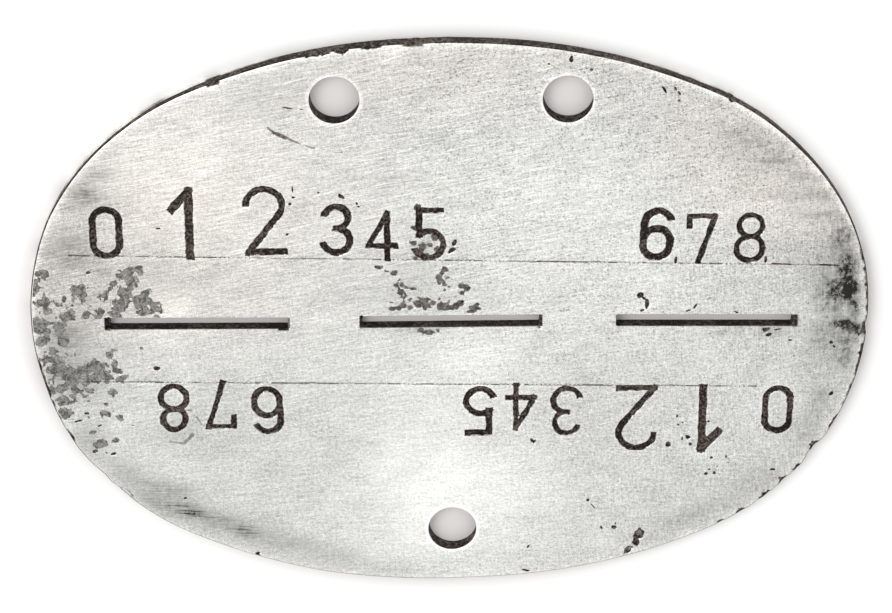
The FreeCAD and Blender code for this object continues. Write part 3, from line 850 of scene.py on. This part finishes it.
def triangulate(loops, fill):
    """Triangles over the points of the loops followed by the filling points.

    Every loop has the metal on its left, so a triangle that lies in an opening, or outside the
    rim, is one whose three corners follow their loop clockwise.
    """
    points = np.vstack([*loops, fill])
    owner = np.full(len(points), -1)
    edges = []
    first = 0
    for number, loop in enumerate(loops):
        count = len(loop)
        owner[first : first + count] = number
        edges += [(first + k, first + (k + 1) % count) for k in range(count)]
        first += count
    made = delaunay_2d_cdt([Vector(point) for point in points], edges, [], 0, 1e-7, True)
    number = [origin[0] for origin in made[3]]
    triangles = np.array([[number[k] for k in face] for face in made[2]])
    order = np.sort(triangles, axis=1)
    a, b, c = (points[order[:, k]] for k in range(3))
    turn = (b[:, 0] - a[:, 0]) * (c[:, 1] - a[:, 1]) - (b[:, 1] - a[:, 1]) * (c[:, 0] - a[:, 0])
    owners = owner[triangles]
    one_loop = (owners[:, 0] >= 0) & (owners[:, 0] == owners[:, 1]) & (owners[:, 1] == owners[:, 2])
    return points, triangles[~(one_loop & (turn < 0))]


def lean(level):
    """How far a hole's wall lies off its upper end at a level, because the punch leaned."""
    return np.array(HOLE_LEAN) * (1 - level / FACE)


def wall_rings(kind, places, away, lip, top_height):
    """The rings of vertices down one wall, between its two edges, and how dark each one is."""
    for back, level in wall_profile(lip)[1:-1]:
        ring = places - away * back + (lean(level) if kind == "hole" else 0)
        dirt = wall_darkening(kind == "rim", ring[:, 0], ring[:, 1], level)
        yield np.column_stack([ring, level * top_height / FACE]), dirt


def build_disc():
    """The whole disc as one closed mesh, with its dirt and wear and its painted highlights and shade
    stored at the vertices.
    """
    loops = [("rim", *rim_loop(), RIM_ROUND)]
    loops += [("hole", *hole_loop(*hole), HOLE_LIP) for hole in HOLES]
    loops += [("slot", *slot_loop(*slot), SLOT_LIP) for slot in SLOTS]
    edges = [places - away * lip for _, places, away, lip in loops]
    rim = edges[0]
    upper, upper_faces = triangulate(edges, face_points(rim))
    back_points = grid(1.6)
    back_points = back_points[on_metal(*back_points.T, rim, 0.4)]
    lower, lower_faces = triangulate(edges, back_points)
    relief = face_relief(*upper.T, rim)
    height = relief.pop("height")
    vertices = [np.column_stack([upper, height]), np.column_stack([lower, np.zeros(len(lower))])]
    marks = {name: [values, np.zeros(len(lower))] for name, values in relief.items()}
    faces = upper_faces.tolist() + (lower_faces[:, ::-1] + len(upper)).tolist()

    used = len(upper) + len(lower)
    first = 0
    for kind, places, away, lip in loops:
        count = len(places)
        top = np.arange(first, first + count)
        rings = [top]
        for ring, dirt in wall_rings(kind, places, away, lip, height[top]):
            vertices.append(ring)
            for name, values in marks.items():
                values.append(relief[name][top] * (name != "patina"))
            marks["grime"][-1] = np.maximum(dirt, marks["grime"][-1])
            rings.append(np.arange(used, used + count))
            used += count
        rings.append(top + len(upper))
        if kind == "hole":
            vertices[1][top, :2] += lean(0)
        for above, below in zip(rings, rings[1:]):
            quads = [above, below, np.roll(below, -1), np.roll(above, -1)]
            faces += np.column_stack(quads).tolist()
        first += count

    mesh = bpy.data.meshes.new("worn_disc")
    mesh.from_pydata(np.vstack(vertices) * MM, [], faces)
    for name, values in marks.items():
        layer = mesh.attributes.new(name, "FLOAT", "POINT")
        layer.data.foreach_set("value", np.concatenate(values).astype(np.float32))
    mesh.validate()
    mesh.shade_smooth()
    mesh.set_sharp_from_angle(angle=math.radians(50))
    mesh.materials.append(worn_zinc())
    return add("worn_disc", mesh)


def wall_darkening(rim, x, y, level):
    """How dark a wall is at a level; on the rim the darkening starts nearer its upper edge in some
    places.
    """
    ragged = noise(x, y, 1.3, 51) + 0.6 * noise(x, y, 0.4, 52)
    if rim:
        start = 0.012 + 0.012 * noise(x, y, 6, 53) + 0.008 * ragged
        worn = smooth(np.abs(x), 8, 20) * (0.7 + 0.3 * ragged)
        dirt = smooth(FACE - level, start, start + 0.05) * (0.92 + 0.08 * ragged)
        clean = 0.55 + 0.4 * smooth(-x, 17, 26)
        return dirt * (1 - worn * smooth(clean - level, 0, 0.3))
    return smooth(FACE - level + 0.02 * ragged, 0.02, 0.12)


class Nodes:
    """The nodes of one material, with a short call for each kind that it needs."""

    def __init__(self, name):
        self.material = bpy.data.materials.new(name)
        self.material.use_nodes = True
        self.tree = self.material.node_tree
        self.shader = self.tree.nodes["Principled BSDF"]
        self.made = {}

    def join(self, term, socket):
        """Links an output to a socket, or sets the socket to a value, a place or a colour."""
        if isinstance(term, bpy.types.NodeSocket):
            self.tree.links.new(term, socket)
        else:
            socket.default_value = (*term, 1) if socket.type == "RGBA" else term

    def new(self, kind, inputs, **settings):
        """A node with its settings and inputs."""
        node = self.tree.nodes.new("ShaderNode" + kind)
        for name, setting in settings.items():
            setattr(node, name, setting)
        for name, term in inputs.items():
            self.join(term, node.inputs[name])
        return node

    def finish(self, name, term):
        """Sets or links one input of the material's shader."""
        self.join(term, self.shader.inputs[name])

    def value(self, operation, *terms):
        """A calculation on values and outputs."""
        return self.new("Math", dict(enumerate(terms)), operation=operation).outputs[0]

    def times(self, first, second):
        return self.value("MULTIPLY", first, second)

    def minus(self, first, second):
        return self.value("SUBTRACT", first, second)

    def total(self, *terms):
        """The sum of several terms."""
        result = terms[0]
        for term in terms[1:]:
            result = self.value("ADD", result, term)
        return result

    def ramp(self, source, low, high, from_value=0, to_value=1):
        """A smooth ramp between two levels of a source."""
        levels = {"From Min": low, "From Max": high, "To Min": from_value, "To Max": to_value}
        node = self.new("MapRange", {"Value": source, **levels}, interpolation_type="SMOOTHSTEP")
        return node.outputs["Result"]

    def mix(self, share, first, second):
        """A blend of two colours."""
        node = self.new("Mix", {"Factor": share}, data_type="RGBA")
        colours = [socket for socket in node.inputs if socket.type == "RGBA"]
        self.join(first, colours[0])
        self.join(second, colours[1])
        return next(socket for socket in node.outputs if socket.type == "RGBA")

    def scaled(self, colour, share):
        """A colour made brighter or darker."""
        return self.new("VectorMath", {0: colour, "Scale": share}, operation="SCALE").outputs[0]

    def mark(self, name):
        """A mark stored at the vertices under a name: dirt, wear, stains or painted highlights and
        shade.
        """
        return self.new("Attribute", {}, attribute_name=name).outputs["Fac"]

    def place(self):
        return self.new("TexCoord", {}).outputs["Object"]

    def along(self, axis, low, high, from_value=0, to_value=1):
        """A smooth ramp between two places on an axis, in millimetres."""
        node = self.new("SeparateXYZ", {0: self.place()})
        return self.ramp(node.outputs[axis], low * MM, high * MM, from_value, to_value)

    def grain(self, name):
        """Noise from the table of grains, made once."""
        if name not in self.made:
            length, width, turn, detail, offset = GRAINS[name]
            area = {
                "Vector": self.place(),
                "Location": (offset * MM, 0, 0),
                "Rotation": (0, 0, math.radians(turn)),
                "Scale": (length * MM, width * MM, width * MM),
            }
            place = self.new("Mapping", area, vector_type="TEXTURE").outputs[0]
            cloud = {"Vector": place, "Scale": 1, "Detail": detail, "Roughness": 0.6}
            self.made[name] = self.new("TexNoise", cloud).outputs[0]
        return self.made[name]

    def swing(self, name, gain):
        """A grain shifted to swing about zero, times a gain."""
        return self.times(self.minus(self.grain(name), 0.5), gain)


def brushed_zinc(nodes):
    """The bare metal's colour with its painted highlights and shade, and its scratches, which are
    boldest in the upper half.
    """
    upper = nodes.along("Y", -16, 12, 0.45, 1)
    brushing = nodes.times(upper, nodes.along("X", 0, 28, 1, 0.5))
    scratches = nodes.total(
        nodes.swing("fine", 1),
        nodes.swing("speckle", 0.9),
        nodes.times(nodes.swing("brushed", 0.95), brushing),
        nodes.swing("level", 0.35),
        nodes.times(nodes.swing("upright", 0.9), nodes.along("X", 5, 28, 0.35, 0.8)),
    )
    hairs = nodes.times(nodes.ramp(nodes.grain("hairs"), 0.6, 0.7, 0, 0.3), brushing)
    stipple = nodes.times(nodes.ramp(nodes.grain("stipple"), 0.64, 0.72, 0, 0.34), upper)
    stipple = nodes.times(stipple, nodes.along("X", -9, 1))
    # The painted highlights and shade of the face come in here through their vertex mark
    light = nodes.total(1, scratches, nodes.swing("cloud", 0.4), nodes.mark("painted_light_and_tarnish"), hairs)
    metal = nodes.mix(nodes.mark("warmth"), METAL, METAL_WARM)
    return nodes.scaled(metal, nodes.minus(light, stipple)), scratches


def stained(nodes, metal):
    """The metal with its soft dark stains, streaky at the left end and blotchy elsewhere."""
    streaky = nodes.along("X", -12, 4, 1, 0)
    blotchy = nodes.minus(1, streaky)
    mottle = nodes.total(
        1,
        nodes.times(nodes.swing("blotch", 3.6), blotchy),
        nodes.times(nodes.total(nodes.swing("level", 4), nodes.swing("blotch", 2)), streaky),
        nodes.swing("speckle", 1.4),
        nodes.swing("fine", 1.6),
        nodes.swing("cloud", 2),
    )
    smudge = nodes.times(nodes.mark("stain"), nodes.value("MAXIMUM", mottle, 0.3))
    return nodes.mix(nodes.value("MINIMUM", smudge, 1), metal, STAIN)


def crusted(nodes, colour):
    """The colour with the grey crust over it, and how fully the crust covers each place."""
    patch = nodes.total(nodes.mark("patina"), nodes.swing("fine", 0.5), nodes.swing("speckle", 0.5))
    lumps = nodes.total(nodes.grain("blotch"), nodes.swing("fine", 0.5), nodes.swing("speckle", 0.4))
    crust = nodes.mix(nodes.ramp(lumps, 0.36, 0.58), PATINA_DARK, PATINA)
    crust = nodes.mix(nodes.ramp(lumps, 0.66, 0.8), crust, PATINA_PALE)
    crust = nodes.scaled(crust, nodes.ramp(patch, 0.4, 0.9, 0.8, 1))
    bare_flecks = nodes.ramp(nodes.grain("fine"), 0.62, 0.74, 1, 0.45)
    cover = nodes.times(nodes.ramp(patch, 0.2, 0.6), bare_flecks)
    return nodes.mix(cover, colour, crust), cover


def soiled(nodes, colour):
    """The colour with dark dirt over it, and how fully the dirt covers each place."""
    cover = nodes.ramp(nodes.total(nodes.mark("grime"), nodes.swing("fine", 0.35)), 0.2, 0.65)
    deposit = nodes.total(nodes.grain("speckle"), nodes.swing("fine", 0.5), nodes.swing("cloud", 0.5))
    soil = nodes.mix(nodes.ramp(deposit, 0.42, 0.72), GRIME, GRIME_PALE)
    return nodes.mix(cover, colour, soil), cover


def worn_zinc():
    """Brushed zinc with fine scratches, stains, grey corroded patches and dark dirt in its dents."""
    nodes = Nodes("worn_zinc")
    metal, scratches = brushed_zinc(nodes)
    colour, crust = crusted(nodes, stained(nodes, metal))
    colour, dirt = soiled(nodes, colour)
    nodes.finish("Base Color", colour)
    nodes.finish("Specular IOR Level", 0.2)
    covered = nodes.value("MAXIMUM", dirt, crust)
    nodes.finish("Metallic", nodes.minus(1, nodes.times(covered, 0.9)))
    nodes.finish("Roughness", nodes.total(0.42, nodes.times(covered, 0.3), nodes.swing("speckle", 0.15)))

    relief = {"Strength": 1, "Distance": MM, "Height": nodes.times(scratches, SCRATCH_DEPTH)}
    nodes.finish("Normal", nodes.new("Bump", relief).outputs["Normal"])
    return nodes.material


def pale_floor():
    """White paper with a painted shadow that makes it a little darker under the disc and close to it."""
    nodes = Nodes("pale_floor")
    nodes.finish("Roughness", 0.9)
    nodes.finish("Specular IOR Level", 0)
    oval = {
        "Vector": nodes.place(),
        "Location": (0, FLOOR_SHADE_SHIFT, 0),
        "Scale": (2 / (LENGTH * MM), 2 / (WIDTH * MM), 1),
    }
    place = nodes.new("Mapping", oval).outputs[0]
    reach = nodes.new("VectorMath", {0: place}, operation="LENGTH")
    away = nodes.ramp(reach.outputs["Value"], *FLOOR_SHADE)
    nodes.finish("Base Color", nodes.mix(away, FLOOR_PAINTED_SHADOW, FLOOR))
    return nodes.material


def make_floor():
    half = FLOOR_HALF * MM
    mesh = bpy.data.meshes.new("floor")
    corners = [(-half, -half), (half, -half), (half, half), (-half, half)]
    mesh.from_pydata([(x, y, -FLOOR_GAP * MM) for x, y in corners], [], [(0, 1, 2, 3)])
    mesh.materials.append(pale_floor())
    return add("floor", mesh)


def make_camera():
    lens = bpy.data.cameras.new("camera")
    lens.sensor_width = SENSOR_WIDTH
    lens.lens = FOCAL_PIXELS / PICTURE_WIDTH * SENSOR_WIDTH
    lens.clip_start = 0.01
    camera = add("camera", lens)
    turn = Euler(CAMERA_TURN, "ZYX").to_matrix().to_4x4()
    camera.matrix_world = Matrix.Translation(Vector(CAMERA_PLACE) * MM) @ turn
    bpy.context.scene.camera = camera


def light_scene():
    """An even white dome with one large square lamp that points at the middle of the disc."""
    world = bpy.data.worlds.new("studio")
    world.use_nodes = True
    dome = world.node_tree.nodes["Background"]
    dome.inputs["Color"].default_value = (1, 1, 1, 1)
    dome.inputs["Strength"].default_value = DOME
    bpy.context.scene.world = world
    lamp = bpy.data.lights.new("key", "AREA")
    lamp.shape = "SQUARE"
    lamp.size = KEY_SIZE * MM
    lamp.energy = KEY_POWER
    key = add("key", lamp)
    key.location = Vector(KEY_PLACE) * MM
    key.rotation_euler = (-key.location).to_track_quat("-Z", "Y").to_euler()
    bpy.context.scene.view_settings.view_transform = "Standard"


disc = build_disc()
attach(disc, "root")
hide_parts(NODE)
make_floor()
make_camera()
light_scene()
